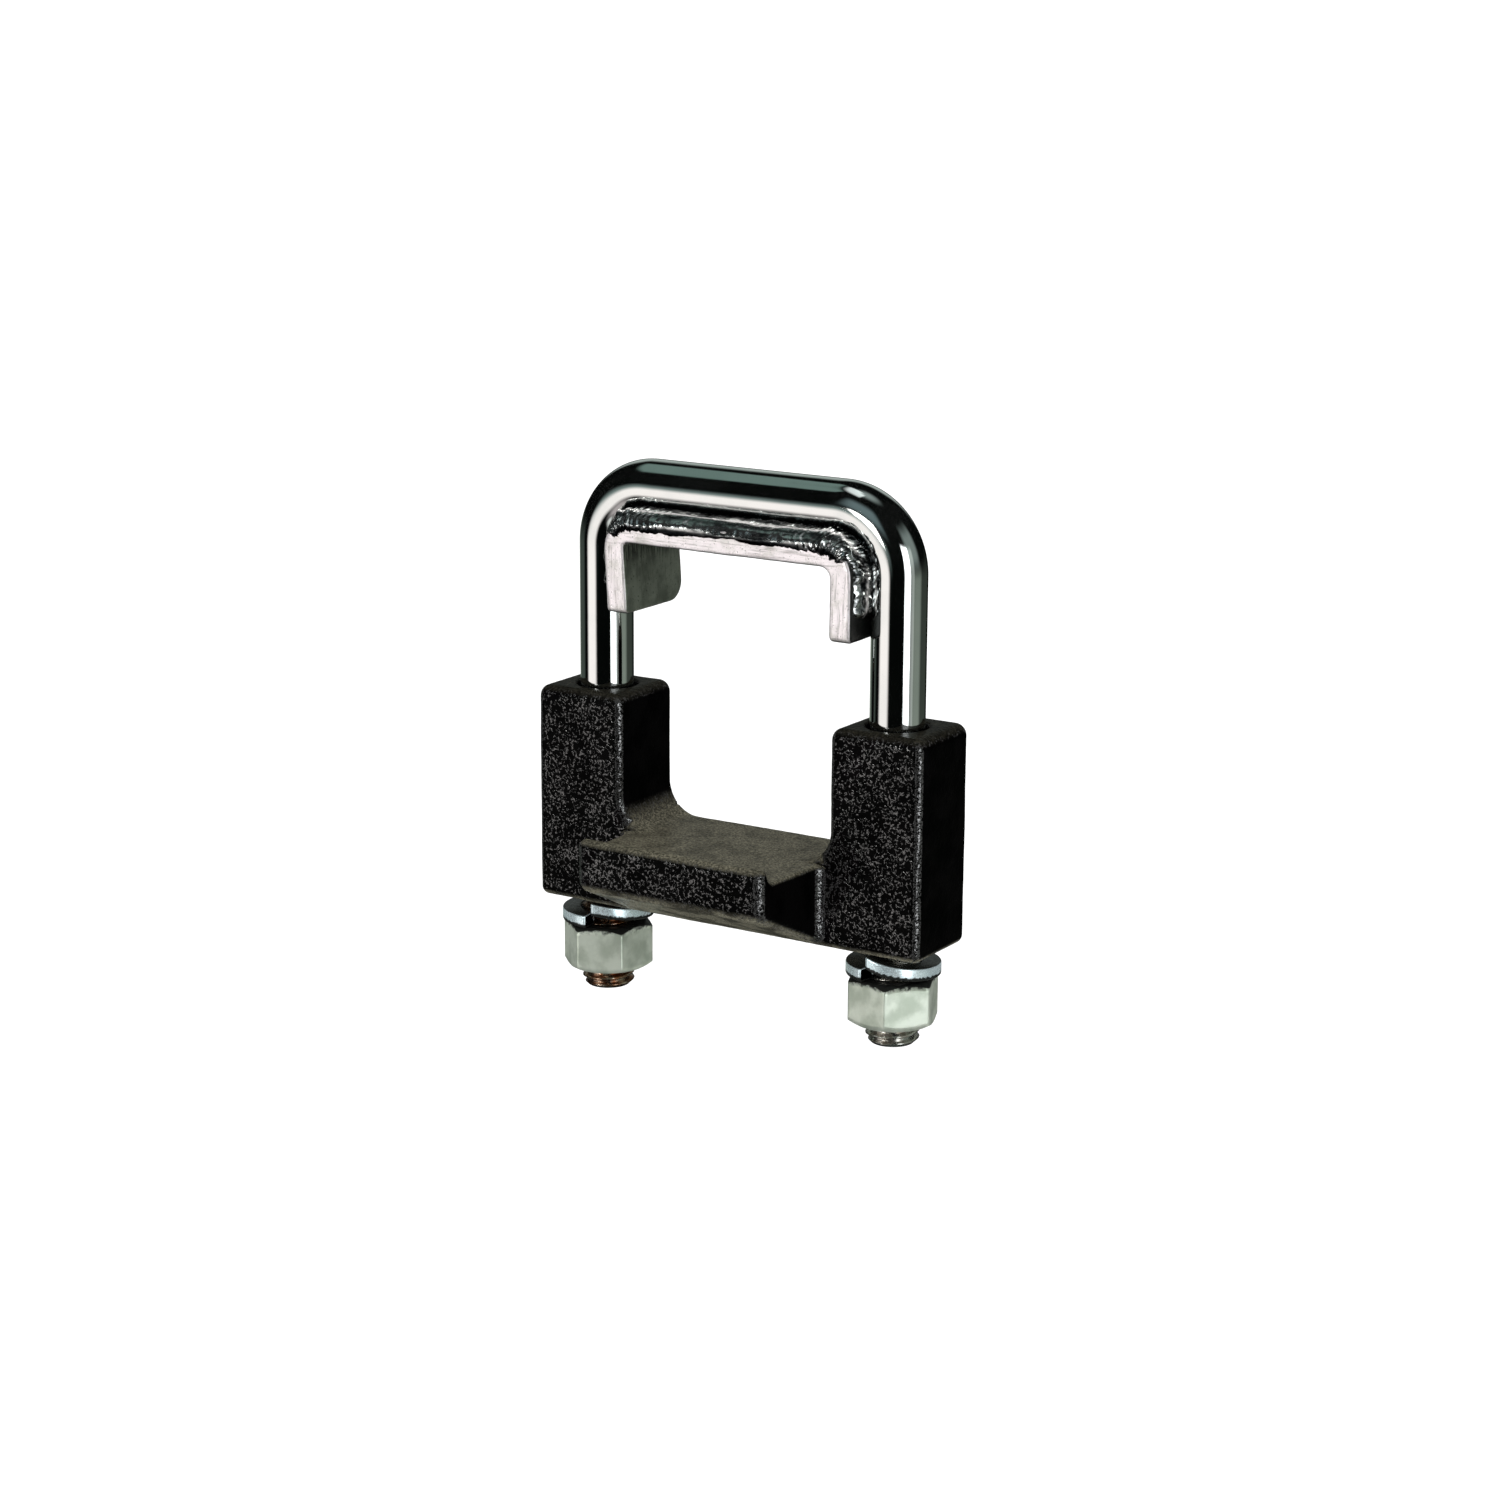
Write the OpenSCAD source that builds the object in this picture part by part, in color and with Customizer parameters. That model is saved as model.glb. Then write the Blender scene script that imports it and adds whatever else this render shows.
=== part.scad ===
// U-bolt bar clamp: a bent round rod with a welded-in bracket is drawn down
// against a cast saddle by two nuts. The saddle's top face is the origin,
// X runs from leg to leg, the saddle's tongue points to -Y and the rod is on +Z.

/* [U-bolt] */
// Diameter of the rod
rod_d = 12.7; // [12:0.1:13]
// Distance between the axes of the two legs
leg_spacing = 79.5; // [79:0.1:84]
// Height of the top bar's axis above the saddle's face
crown_z = 80.5; // [78:0.1:92]
// Radius of the bends, on the rod's axis
bend_r = 14.2; // [13:0.1:18]
// How far the legs reach below the saddle
leg_reach = 22.8; // [20:0.1:30]
// Length of thread on each leg
thread_len = 50.8; // [45:0.1:60]
// Outer diameter of the thread
thread_d = 12.5; // [12.2:0.05:12.6]

/* [Bracket] */
// Thickness of the flat bar
bar_t = 5.8; // [4:0.1:6.4]
// Width of the flat bar
bar_w = 24; // [20:0.1:25.4]
// How far the bar's middle lies behind the rod's axis
bar_shift = 1.1; // [0:0.1:2]
// Inner radius of the bracket's bends
bar_bend_r = 1.5; // [1:0.5:5]
// Height of the bracket's ends above the saddle's face
bracket_foot_z = 51.6; // [50:0.1:58]

/* [Saddle] */
// Length over both posts
saddle_len = 104.8; // [102:0.1:108]
// Gap between the posts
post_gap = 56.6; // [56:0.1:58]
// Front-to-back depth of the posts
saddle_depth = 22.8; // [20:0.1:26]
// Thickness of the web under the saddle's face
web_t = 19.7; // [16:0.1:22]
// Height of the posts above the saddle's face
post_rise = 32.3; // [28:0.1:34]
// Diameter of the bores that the legs slide in
bore_d = 14.2; // [13.6:0.1:15]
// Fillet between the face and the posts
saddle_fillet_r = 8; // [5:0.5:10]

/* [Tongue] */
// How far the tongue stands out in front of the posts
tongue_reach = 23.1; // [18:0.1:28]
// Width of the tongue at its tip
tongue_w = 50.4; // [44:0.1:52]
// Width of the tongue at its root
tongue_root_w = 53.2; // [52:0.1:56]
// Depth of the tip's rounded bottom edge under the saddle's face
tongue_tip_t = 8.7; // [5:0.1:9.5]
// Height of the lip above the saddle's face
lip_h = 3.4; // [2:0.1:5]
// Thickness of the lip, front to back
lip_t = 3.8; // [3:0.1:6]

/* [Nuts and washers] */
// Width of the nuts across their flats
nut_af = 19.05; // [18.6:0.05:19.1]
// Height of the nuts
nut_h = 11.1; // [10.8:0.1:11.4]
// Outer diameter of the lock washers
washer_od = 22; // [21:0.1:22.4]
// Thickness of a lock washer's wire
washer_t = 3.25; // [3:0.05:3.4]
// Height of a lock washer while nothing squeezes it
washer_free_h = 6.5; // [5.5:0.1:6.8]

/* [Hidden] */
$fn = 96;

LEFT = -1;
RIGHT = 1;
FRONT = -1;
REAR = 1;
eps = 0.01;                           // overlap that keeps joined outlines in one piece

rod_r = rod_d / 2;
leg_x = leg_spacing / 2;
top_half = leg_x - bend_r;            // half of the top bar's straight length
bend_z = crown_z - bend_r;            // height of the bends' centres
saddle_bottom = -web_t;
leg_end_z = saddle_bottom - leg_reach;
thread_r = thread_d / 2;
thread_top_z = leg_end_z + thread_len;
thread_chamfer = 1.1;

bar_outer_x = leg_x - rod_r;          // the bracket's legs lie against the rod
bar_outer_z = crown_z - rod_r;        // and its bar lies against the top bar
bar_outer_r = bend_r - rod_r;         // and its bends lie in the rod's bends
foot_corner_r = 5;                    // rounded rear corners of the feet
foot_front_r = 1.5;                   // rounded front corners of the feet

post_w = (saddle_len - post_gap) / 2;
post_x = (saddle_len + post_gap) / 4; // middle of a post
edge_r = 2.4;                         // upright edges of the posts, long edges of the web
post_corner_r = 2.6;                  // top and bottom edges of the posts
bore_chamfer = 0.8;
tongue_corner_r = 3;
tongue_tip_r = 1.5;
tongue_y = -saddle_depth / 2 - tongue_reach;

weld_r = 4;                           // size of a bead
weld_y = 7;                           // distance of a bead's middle from the rod's axis
weld_sink = 0.85;                     // how far it lies below the bar's outer face
fusion = 0.15;                        // depth that a bead melts into its neighbours
weld_foot_z = bracket_foot_z + 5;     // where the beads on the legs stop
weld_gap = 0.1;                       // between a leg's bead and the top one

washer_id = 13.1;
washer_gap_deg = 9;                   // opening between a washer's two ends
washer_steps = 60;
washer_left_turn = -82;               // direction of the left washer's split
washer_right_turn = -100;
washer_left_curl = 3.5;               // how much of a washer's rise is in its upper end:
washer_right_curl = 7;                // 1 is an even coil, more leaves the rest of it flat
nut_clearance = 0.07;                 // radial clearance of a nut on its leg
nut_gap = 0.3;                        // free play between a washer and its nut
nut_bevel_angle = 30;
nut_face_ratio = 0.97;                // round end face, as a part of the width across flats
nut_top_z = saddle_bottom - washer_free_h - nut_gap;
nut_left_turn = 21.5;                 // direction of a corner of the left nut
nut_right_turn = -11;

// ---- plane outlines ----

// Rectangle with round corners, centred
module rounded_rect(w, h, r) {
    square([w - 2 * r, h], center = true);
    square([w, h - 2 * r], center = true);
    for (x = [-1, 1], y = [-1, 1])
        translate([x * (w / 2 - r), y * (h / 2 - r)]) circle(r);
}

// Block whose edges are round, seen from above and from the front, centred
module rounded_block(w, d, h, upright_r, end_r) {
    intersection() {
        linear_extrude(h, center = true) rounded_rect(w, d, upright_r);
        rotate([90, 0, 0]) linear_extrude(d + 2, center = true) rounded_rect(w, h, end_r);
        rotate([90, 0, 90]) linear_extrude(w + 2, center = true) rounded_rect(d, h, end_r);
    }
}

// ---- saddle ----

module post(side) {
    h = web_t + post_rise;
    translate([side * post_x, 0, saddle_bottom + h / 2])
        rounded_block(post_w, saddle_depth, h, edge_r, post_corner_r);
}

module web() {
    span = post_gap + 2 * post_corner_r;
    translate([0, 0, -web_t / 2]) rotate([90, 0, 90])
        linear_extrude(span, center = true) rounded_rect(saddle_depth, web_t, edge_r);
}

// Fillet where the saddle's face runs up into a post
module face_fillet(side) {
    depth = saddle_depth - 2 * edge_r;
    size = saddle_fillet_r + edge_r;
    translate([side * (post_gap / 2 - saddle_fillet_r), 0, -edge_r])
        rotate([90, 0, 0]) linear_extrude(depth, center = true) difference() {
            translate([side > 0 ? 0 : -size, 0]) square(size);
            translate([0, size]) circle(saddle_fillet_r);
        }
}

// The tongue seen from the side: it thins towards its tip, which has a raised lip,
// and its underside touches the rounded edges of the tip and of the web
module tongue_side() {
    tip = [tongue_y + tongue_tip_r, -tongue_tip_t + tongue_tip_r];
    web_edge = [-saddle_depth / 2 + edge_r, saddle_bottom + edge_r];
    run = web_edge - tip;
    down = atan2(run.y, run.x) - 90 + asin((tongue_tip_r - edge_r) / norm(run));
    normal = [cos(down), sin(down)];
    polygon([[0, 0], [tongue_y, 0], [tongue_y, tip.y],
             tip, tip + tongue_tip_r * normal,
             web_edge + edge_r * normal, web_edge, [web_edge.x, saddle_bottom],
             [0, saddle_bottom]]);
    translate([tongue_y, -eps]) square([lip_t, lip_h - lip_t / 2 + eps]);
    translate([tongue_y + lip_t / 2, lip_h - lip_t / 2]) circle(lip_t / 2);
    translate(tip) circle(tongue_tip_r);
    translate(web_edge) circle(edge_r);
}

// The tongue seen from above
module tongue_plan() {
    tip = tongue_w / 2;
    root = tongue_root_w / 2;
    y_round = tongue_y + tongue_corner_r;
    polygon([[-tip, y_round], [-tip + tongue_corner_r, tongue_y],
             [tip - tongue_corner_r, tongue_y], [tip, y_round],
             [root, -saddle_depth / 2], [root, 0], [-root, 0], [-root, -saddle_depth / 2]]);
    for (x = [-1, 1])
        translate([x * (tip - tongue_corner_r), y_round]) circle(tongue_corner_r);
}

module tongue() {
    height = web_t + lip_h + 2;
    intersection() {
        rotate([90, 0, 90]) linear_extrude(tongue_root_w + 2, center = true) tongue_side();
        translate([0, 0, saddle_bottom - 1]) linear_extrude(height) tongue_plan();
    }
}

module bore(side) {
    translate([side * leg_x, 0, saddle_bottom - 1]) cylinder(h = web_t + post_rise + 2, d = bore_d);
    translate([side * leg_x, 0, post_rise - bore_chamfer])
        cylinder(h = bore_chamfer + eps, d1 = bore_d, d2 = bore_d + 2 * bore_chamfer);
}

module saddle_casting() {
    color("#1c1b1a") difference() {
        union() {
            for (side = [LEFT, RIGHT]) {
                post(side);
                face_fillet(side);
            }
            web();
            tongue();
        }
        for (side = [LEFT, RIGHT]) bore(side);
    }
}

// ---- U-bolt ----

// A quarter turn about a bend's centre, of an outline drawn about the rod's axis
module bend(side) {
    translate([side * top_half, 0, bend_z]) mirror([side < 0 ? 1 : 0, 0, 0])
        rotate([90, 0, 0]) rotate_extrude(angle = 90) translate([bend_r, 0]) children();
}

module leg(side) {
    translate([side * leg_x, 0, 0]) {
        translate([0, 0, thread_top_z]) cylinder(h = bend_z - thread_top_z, r = rod_r);
        translate([0, 0, leg_end_z + thread_chamfer])
            cylinder(h = thread_len - thread_chamfer, r = thread_r);
        translate([0, 0, leg_end_z])
            cylinder(h = thread_chamfer, r1 = thread_r - thread_chamfer, r2 = thread_r);
    }
}

module u_bolt() {
    color("#d8dcdc") {
        for (side = [LEFT, RIGHT]) {
            leg(side);
            bend(side) circle(rod_r);
        }
        translate([0, 0, crown_z]) rotate([0, 90, 0])
            cylinder(h = 2 * top_half, r = rod_r, center = true);
    }
}

// ---- bracket ----

// Flat bar bent to a square arch, seen from the front
module bracket_arch() {
    inner_x = bar_outer_x - bar_t;
    inner_z = bar_outer_z - bar_t;
    difference() {
        union() {
            translate([-bar_outer_x, bracket_foot_z])
                square([2 * bar_outer_x, bar_outer_z - bar_outer_r - bracket_foot_z]);
            translate([-bar_outer_x + bar_outer_r, bracket_foot_z])
                square([2 * (bar_outer_x - bar_outer_r), bar_outer_z - bracket_foot_z]);
            for (x = [-1, 1])
                translate([x * (bar_outer_x - bar_outer_r), bar_outer_z - bar_outer_r])
                    circle(bar_outer_r);
        }
        translate([-inner_x, bracket_foot_z - 1])
            square([2 * inner_x, inner_z - bar_bend_r - bracket_foot_z + 1]);
        translate([-inner_x + bar_bend_r, bracket_foot_z - 1])
            square([2 * (inner_x - bar_bend_r), inner_z - bracket_foot_z + 1]);
        for (x = [-1, 1])
            translate([x * (inner_x - bar_bend_r), inner_z - bar_bend_r]) circle(bar_bend_r);
    }
}

// The bracket seen from the side: the feet have round corners
module bracket_side() {
    height = bar_outer_z - bracket_foot_z;
    front = bar_shift - bar_w / 2;
    rear = bar_shift + bar_w / 2;
    translate([front, bracket_foot_z + foot_corner_r]) square([bar_w, height - foot_corner_r]);
    translate([front + foot_front_r, bracket_foot_z])
        square([bar_w - foot_front_r - foot_corner_r, height]);
    translate([front, bracket_foot_z + foot_front_r]) square([foot_front_r, foot_corner_r]);
    translate([front + foot_front_r, bracket_foot_z + foot_front_r]) circle(foot_front_r);
    translate([rear - foot_corner_r, bracket_foot_z + foot_corner_r]) circle(foot_corner_r);
}

module clamp_bracket() {
    color("#b4b6b2") intersection() {
        rotate([90, 0, 0]) linear_extrude(2 * bar_w, center = true) bracket_arch();
        rotate([90, 0, 90]) linear_extrude(2 * leg_spacing, center = true) bracket_side();
    }
}

// ---- welds ----

// A bead's outline about the rod's axis: the flat bar lies below, the bead to the left,
// where it may lap over the edge of the bar
module bead(bar_edge) {
    difference() {
        translate([-weld_y, -rod_r - weld_sink]) circle(weld_r);
        circle(rod_r - fusion);
        translate([-bar_edge + fusion, -rod_r - bar_t]) square([bar_edge, bar_t - fusion]);
    }
}

// Distance from the rod's axis to the bar's edge on one face
function edge_of(face) = bar_w / 2 + face * bar_shift;

module flip_to(face) {
    mirror([0, face > 0 ? 1 : 0, 0]) children();
}

// The bead along the top bar and round both bends
module weld_top(face) {
    color("#cfd2d0") flip_to(face) {
        translate([0, 0, crown_z]) rotate([90, 0, 90])
            linear_extrude(2 * top_half, center = true) bead(edge_of(face));
        for (side = [LEFT, RIGHT]) bend(side) rotate(-90) bead(edge_of(face));
    }
}

// The bead down one leg of the bracket
module weld_leg(side, face) {
    color("#cfd2d0") flip_to(face) mirror([side < 0 ? 1 : 0, 0, 0])
        translate([leg_x, 0, weld_foot_z])
            linear_extrude(bend_z - weld_gap - weld_foot_z)
                mirror([1, -1, 0]) bead(edge_of(face));
}

// ---- nuts and lock washers ----

// Split ring of square wire, wound to the left so that its ends bite as a nut turns
module lock_washer(turn, curl) {
    r_in = washer_id / 2;
    r_out = washer_od / 2;
    span = 360 - washer_gap_deg;
    rise = washer_free_h - washer_t;
    function ring(i) = let (a = turn + washer_gap_deg / 2 + span * i / washer_steps,
                            z = -rise * (1 - pow(1 - i / washer_steps, curl)))
        [[r_in * cos(a), r_in * sin(a), z], [r_out * cos(a), r_out * sin(a), z],
         [r_out * cos(a), r_out * sin(a), z - washer_t], [r_in * cos(a), r_in * sin(a), z - washer_t]];
    points = [for (i = [0 : washer_steps]) each ring(i)];
    last = 4 * washer_steps;
    sides = [for (i = [0 : washer_steps - 1], k = [0 : 3])
        [4 * i + k, 4 * i + (k + 1) % 4, 4 * i + 4 + (k + 1) % 4, 4 * i + 4 + k]];
    polyhedron(points, concat([[3, 2, 1, 0], [last, last + 1, last + 2, last + 3]], sides));
}

module place_lock_washer(side, turn, curl) {
    color("#c3d3d8") translate([side * leg_x, 0, saddle_bottom]) lock_washer(turn, curl);
}

// Solid of revolution that bevels the corners of a nut at both ends
module nut_envelope(face_r, wide_r) {
    bevel_h = (wide_r - face_r) * tan(nut_bevel_angle);
    cylinder(h = bevel_h, r1 = face_r, r2 = wide_r);
    translate([0, 0, bevel_h]) cylinder(h = nut_h - 2 * bevel_h, r = wide_r);
    translate([0, 0, nut_h - bevel_h]) cylinder(h = bevel_h, r1 = wide_r, r2 = face_r);
}

module hex_nut(side, turn) {
    corner_r = nut_af / 2 / cos(30);
    color("#b9c2b9") translate([side * leg_x, 0, nut_top_z - nut_h]) difference() {
        intersection() {
            rotate(turn) cylinder(h = nut_h, r = corner_r, $fn = 6);
            nut_envelope(nut_face_ratio * nut_af / 2, corner_r + 1);
        }
        translate([0, 0, -1]) cylinder(h = nut_h + 2, r = thread_r + nut_clearance);
    }
}

saddle_casting();
u_bolt();
clamp_bracket();
weld_top(FRONT);  // weld_top_front
weld_top(REAR);  // weld_top_rear
weld_leg(LEFT, FRONT);  // weld_left_front
weld_leg(LEFT, REAR);  // weld_left_rear
weld_leg(RIGHT, FRONT);  // weld_right_front
weld_leg(RIGHT, REAR);  // weld_right_rear
place_lock_washer(LEFT, washer_left_turn, washer_left_curl);  // lock_washer_left
place_lock_washer(RIGHT, washer_right_turn, washer_right_curl);  // lock_washer_right
hex_nut(LEFT, nut_left_turn);  // hex_nut_left
hex_nut(RIGHT, nut_right_turn);  // hex_nut_right
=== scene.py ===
"""U-bolt bar clamp: the looks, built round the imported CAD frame.

Sizes and the points of meshes are in millimetres; the camera and the materials work in metres, and
MM takes one to the other. The frame is the CAD part's: the origin is the centre of the saddle's top
face, X runs from leg to leg, the tongue points to -Y and Z is up.
"""
import math

import bpy
import numpy as np
from mathutils import Matrix, Vector


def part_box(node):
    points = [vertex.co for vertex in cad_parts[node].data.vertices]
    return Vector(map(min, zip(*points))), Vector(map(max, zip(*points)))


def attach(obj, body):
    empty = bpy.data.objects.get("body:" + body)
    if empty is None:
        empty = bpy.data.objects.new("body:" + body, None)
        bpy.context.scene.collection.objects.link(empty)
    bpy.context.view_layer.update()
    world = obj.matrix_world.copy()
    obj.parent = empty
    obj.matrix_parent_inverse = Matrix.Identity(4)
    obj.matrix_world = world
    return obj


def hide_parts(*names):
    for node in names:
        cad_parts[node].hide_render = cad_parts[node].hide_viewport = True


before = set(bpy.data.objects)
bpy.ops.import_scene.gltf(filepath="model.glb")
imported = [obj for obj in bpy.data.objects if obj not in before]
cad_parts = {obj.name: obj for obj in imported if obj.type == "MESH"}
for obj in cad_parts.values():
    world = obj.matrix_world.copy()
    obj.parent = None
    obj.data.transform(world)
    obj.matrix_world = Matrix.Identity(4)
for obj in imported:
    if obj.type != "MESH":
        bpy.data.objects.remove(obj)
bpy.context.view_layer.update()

MM = 0.001
TAU = 2 * math.pi
LEFT, RIGHT = -1, 1
FRONT, REAR = -1, 1

# ---------------------------------------------------------------- sizes in mm, some from the frame


def box_mm(node):
    """Lowest and highest corner of a CAD node, in millimetres."""
    low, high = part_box(node)
    return Vector(low) / MM, Vector(high) / MM


rod_low, rod_high = box_mm("u_bolt")
casting_low, casting_high = box_mm("saddle_casting")
bracket_low, bracket_high = box_mm("clamp_bracket")
nut_high = box_mm("hex_nut_left")[1]
washer_low, washer_high = box_mm("lock_washer_left")

ROD_R = (rod_high.y - rod_low.y) / 2
LEG_X = rod_high.x - ROD_R
CROWN_Z = rod_high.z - ROD_R
LEG_END_Z = rod_low.z
BEND_R = 14.2
TOP_HALF = LEG_X - BEND_R
BEND_Z = CROWN_Z - BEND_R

PITCH = 25.4 / 13
THREAD_R = 6.25
THREAD_DEPTH = 0.6134 * PITCH
THREAD_LEN = 50.8
LEG_BEVEL = 1.2
THREAD_TOP_Z = LEG_END_Z + THREAD_LEN
CLOSING_TRAVEL = 9.5 * PITCH

POST_GAP = 56.6
POST_TOP_R = 3.0
BASE_R = 2.2
SLOT_R = 8
SLOT_EDGE_R = 3.0
EDGE_R = 2.4
TONGUE_TIP_Y = casting_low.y
TONGUE_TIP_HALF = 25.2
TONGUE_ROOT_HALF = 26.6
TONGUE_TIP_T = 8.7
TONGUE_CORNER_R = 3.0
TONGUE_FILLET_R = 2.6
TONGUE_EDGE_R = 1.2
TIP_R = 1.5
LIP_H = 3.4
LIP_T = 3.8
LIP_R = 1.2
LIP_FILLET_R = 1.6
BORE_R = 7.1
BORE_EDGE_R = 0.9
BAR_T = 5.8
BAR_EDGE_R = 0.9
BAR_INNER_R_LEFT, BAR_INNER_R_RIGHT = 0.8, 2.6
FOOT_R_FRONT, FOOT_R_REAR = 1.5, 5.0
LEFT_LEAN = 0.9

# ---------------------------------------------------------------- camera, in metres and radians

CAMERA_AZIMUTH = math.radians(32.343)
CAMERA_ELEVATION = math.radians(13.871)
CAMERA_ROLL = math.radians(0.327)
CAMERA_DISTANCE = 0.7603
CAMERA_TARGET = Vector((0.0005, 0, 0.0210))


def direction(azimuth, elevation):
    """Unit vector towards an azimuth, counted from -Y towards +X, and an elevation, in radians."""
    flat = math.cos(elevation)
    return Vector((math.sin(azimuth) * flat, -math.cos(azimuth) * flat, math.sin(elevation)))


def make_camera():
    """The camera that took the photo, as far as its outline tells."""
    data = bpy.data.cameras.new("camera")
    data.sensor_width = 36
    data.lens = 78.6
    data.clip_start = 0.01
    data.clip_end = 50
    camera = bpy.data.objects.new("camera", data)
    bpy.context.collection.objects.link(camera)
    back = direction(CAMERA_AZIMUTH, CAMERA_ELEVATION)
    turn = (-back).to_track_quat("-Z", "Y").to_matrix().to_4x4()
    place = Matrix.Translation(CAMERA_TARGET + back * CAMERA_DISTANCE)
    camera.matrix_world = place @ turn @ Matrix.Rotation(CAMERA_ROLL, 4, "Z")
    bpy.context.scene.camera = camera


make_camera()
bpy.context.scene.view_settings.view_transform = "Standard"

# ---------------------------------------------------------------- node graphs


class Graph:
    """Short names for the shader nodes that the materials and the world are made of."""

    def __init__(self, tree):
        self.tree = tree
        self.tree.nodes.clear()

    def node(self, kind, **settings):
        made = self.tree.nodes.new(kind)
        for key, value in settings.items():
            setattr(made, key, value)
        return made

    def plug(self, value, socket):
        if isinstance(value, bpy.types.NodeSocket):
            self.tree.links.new(value, socket)
        else:
            socket.default_value = value

    def math(self, operation, first, second=0.0, clamp=False):
        made = self.node("ShaderNodeMath", operation=operation, use_clamp=clamp)
        self.plug(first, made.inputs[0])
        self.plug(second, made.inputs[1])
        return made.outputs[0]

    def ramp(self, value, low, high, to_low=0.0, to_high=1.0, smooth=True):
        """Takes low..high to to_low..to_high, held at both ends."""
        made = self.node("ShaderNodeMapRange",
                         interpolation_type="SMOOTHSTEP" if smooth else "LINEAR")
        for socket, number in zip(made.inputs, (value, low, high, to_low, to_high)):
            self.plug(number, socket)
        return made.outputs[0]

    def mix(self, factor, first, second, blend="MIX"):
        made = self.node("ShaderNodeMix", data_type="RGBA", blend_type=blend)
        self.plug(factor, made.inputs["Factor"])
        self.plug(first, made.inputs[6])
        self.plug(second, made.inputs[7])
        return made.outputs[2]

    def noise(self, per_mm, detail, roughness=0.5, stretch=(1, 1, 1), distortion=0.0):
        """Noise with about per_mm features in each millimetre; stretch scales each axis."""
        where = self.node("ShaderNodeTexCoord").outputs["Object"]
        mapped = self.node("ShaderNodeMapping")
        self.plug(where, mapped.inputs["Vector"])
        mapped.inputs["Scale"].default_value = [per_mm / MM * s for s in stretch]
        made = self.node("ShaderNodeTexNoise")
        self.plug(mapped.outputs[0], made.inputs["Vector"])
        made.inputs["Scale"].default_value = 1.0
        made.inputs["Detail"].default_value = detail
        made.inputs["Roughness"].default_value = roughness
        made.inputs["Distortion"].default_value = distortion
        return made.outputs["Fac"]

    def split(self, vector):
        """The x, y and z of a vector."""
        made = self.node("ShaderNodeSeparateXYZ")
        self.plug(vector, made.inputs[0])
        return made.outputs

    def place(self):
        """Where a point is on the piece, as x, y and z in metres."""
        return self.split(self.node("ShaderNodeTexCoord").outputs["Object"])

    def normal(self):
        """Which way the smooth surface faces, as x, y and z."""
        return self.split(self.node("ShaderNodeNewGeometry").outputs["Normal"])

    def bump(self, height, distance_mm, strength, normal=None):
        made = self.node("ShaderNodeBump")
        made.inputs["Strength"].default_value = strength
        made.inputs["Distance"].default_value = distance_mm * MM
        self.plug(height, made.inputs["Height"])
        if normal is not None:
            self.plug(normal, made.inputs["Normal"])
        return made.outputs[0]


def principled(name):
    """A new material: its graph and its Principled shader."""
    material = bpy.data.materials.new(name)
    material.use_nodes = True
    graph = Graph(material.node_tree)
    shader = graph.node("ShaderNodeBsdfPrincipled")
    output = graph.node("ShaderNodeOutputMaterial")
    graph.plug(shader.outputs[0], output.inputs["Surface"])
    return material, graph, shader


# ---------------------------------------------------------------- materials


def chrome_material():
    """Bright chrome: hardly rough, with faint polishing marks and the odd dull patch."""
    material, g, shader = principled("chrome")
    shader.inputs["Metallic"].default_value = 1.0
    patches = g.noise(0.09, detail=4)
    tint = g.mix(g.ramp(patches, 0.4, 0.65), (0.80, 0.82, 0.80, 1), (0.74, 0.77, 0.75, 1))
    g.plug(tint, shader.inputs["Base Color"])
    fine = g.noise(1.3, detail=5, roughness=0.6)
    g.plug(g.math("ADD", g.ramp(patches, 0.3, 0.7, 0.035, 0.075), g.ramp(fine, 0.45, 0.75, 0, 0.03)),
           shader.inputs["Roughness"])
    g.plug(g.bump(g.noise(0.12, detail=2), 0.12, 0.25), shader.inputs["Normal"])
    return material


def thread_material():
    """The same plate on the thread, dull and dirty in patches, and rusty on the left leg."""
    material, g, shader = principled("chrome_thread")
    shader.inputs["Metallic"].default_value = 1.0
    dirt = g.noise(0.5, detail=5)
    left = g.ramp(g.place()[0], 5 * MM, -5 * MM)
    silver = g.mix(g.ramp(dirt, 0.35, 0.7), (0.72, 0.72, 0.68, 1), (0.34, 0.31, 0.26, 1))
    rusty = g.mix(g.ramp(dirt, 0.35, 0.6), (0.60, 0.48, 0.38, 1), (0.20, 0.085, 0.035, 1))
    g.plug(g.mix(left, silver, rusty), shader.inputs["Base Color"])
    g.plug(g.ramp(dirt, 0.3, 0.7, 0.16, 0.34), shader.inputs["Roughness"])
    g.plug(g.bump(g.noise(4.0, detail=3), 0.02, 0.5), shader.inputs["Normal"])
    return material


def facing_parts(g):
    """How far a surface looks up, and how far down, from its smooth normal."""
    rise = g.normal()[2]
    return g.ramp(rise, 0.25, 0.9), g.ramp(rise, -0.25, -0.8)


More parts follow.
